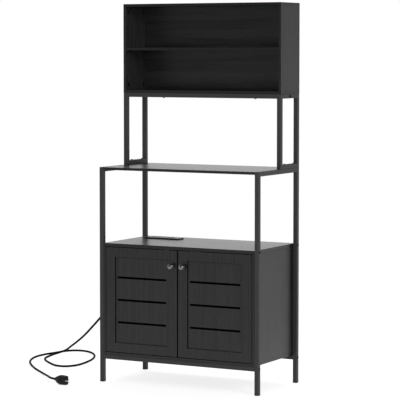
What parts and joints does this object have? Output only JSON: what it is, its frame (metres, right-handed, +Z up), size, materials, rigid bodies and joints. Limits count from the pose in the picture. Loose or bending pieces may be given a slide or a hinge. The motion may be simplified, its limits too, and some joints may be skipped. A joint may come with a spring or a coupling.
{
  "type": "bakers rack",
  "caption": "Free-standing black bakers rack: tube frame, two-door cabinet with a socket outlet and cord, open middle shelf and a two-tier hutch.",
  "frame": {"origin": "on the floor, under the middle of the rack's outline with its door knobs and without its cord", "axes": "+Z up, the doors face -Y, +X to the right as seen from the doors"},
  "size_m": [1.4439, 0.9, 1.7],
  "materials": {
    "frame_tube": "satin black powder coat",
    "feet": "black plastic caps",
    "black_bolts": "black oxide button-head bolts",
    "zinc": "zinc-plated fittings",
    "screws": "dark plated screws",
    "shelf_board": "black laminated particle board, fine wood grain",
    "panel_board": "black laminated particle board, fine wood grain",
    "back_panel": "thin black hardboard",
    "doors": "black fine-grained door panel with a satin finish",
    "knobs": "gunmetal knobs",
    "hinges": "black knife-hinge leaves",
    "bright_steel": "zinc-plated strike plates",
    "catches": "black magnetic catches",
    "outlet": "black moulded outlet",
    "sockets": "dark grey socket faces",
    "cord_mouldings": "black moulded plug and strain relief",
    "cord": "black PVC cord",
    "blades": "nickel-plated blades and ground pin"
  },
  "bodies": {
    "rack": {"front_left_leg": "frame_tube", "front_right_leg": "frame_tube", "rear_left_leg": "frame_tube", "rear_right_leg": "frame_tube", "left_shelf_rail": "frame_tube", "right_shelf_rail": "frame_tube", "front_bottom_rail": "frame_tube", "rear_bottom_rail": "frame_tube", "foot_caps": "feet", "hutch_front_left_post": "frame_tube", "hutch_front_right_post": "frame_tube", "hutch_rear_left_post": "frame_tube", "hutch_rear_right_post": "frame_tube", "hutch_left_bottom_rail": "frame_tube", "hutch_right_bottom_rail": "frame_tube", "hutch_left_top_rail": "frame_tube", "hutch_right_top_rail": "frame_tube", "hutch_front_rail": "frame_tube", "hutch_rear_rail": "frame_tube", "hutch_cross_rail": "frame_tube", "frame_bolts": "black_bolts", "threaded_inserts": "zinc", "barrel_nuts": "zinc", "board_screws": "screws", "middle_shelf": "shelf_board", "hutch_bottom": "panel_board", "hutch_left_side": "panel_board", "hutch_right_side": "panel_board", "hutch_shelf": "panel_board", "hutch_top": "panel_board", "hutch_back": "panel_board", "cabinet_top": "shelf_board", "cabinet_left_side": "panel_board", "cabinet_right_side": "panel_board", "cabinet_bottom": "shelf_board", "cabinet_back": "back_panel", "cabinet_shelf": "shelf_board", "cam_locks": "zinc", "cam_bolts": "zinc", "shelf_pins": "zinc", "cabinet_hinge_leaves": "hinges", "hinge_pins": "zinc", "magnetic_catches": "catches", "outlet_bezel": "outlet", "outlet_housing": "outlet", "outlet_sockets": "sockets", "strain_relief": "cord_mouldings", "power_cord": "cord", "plug_body": "cord_mouldings", "plug_blades": "blades"},
    "left_door_leaf": {"left_door": "doors", "left_knob": "knobs", "left_door_screws": "screws", "left_door_hinge_leaves": "hinges", "left_strike_plate": "bright_steel"},
    "right_door_leaf": {"right_door": "doors", "right_knob": "knobs", "right_door_screws": "screws", "right_door_hinge_leaves": "hinges", "right_strike_plate": "bright_steel"}
  },
  "joints": [
    {"name": "left_door_hinge", "type": "hinge", "parent": "rack", "child": "left_door_leaf", "pos_m": [-0.3612, -0.1827, 0.375], "axis": [0, 0, -1], "range_deg": [0, 105]},
    {"name": "right_door_hinge", "type": "hinge", "parent": "rack", "child": "right_door_leaf", "pos_m": [0.3612, -0.1827, 0.375], "axis": [0, 0, 1], "range_deg": [0, 105]}
  ]
}
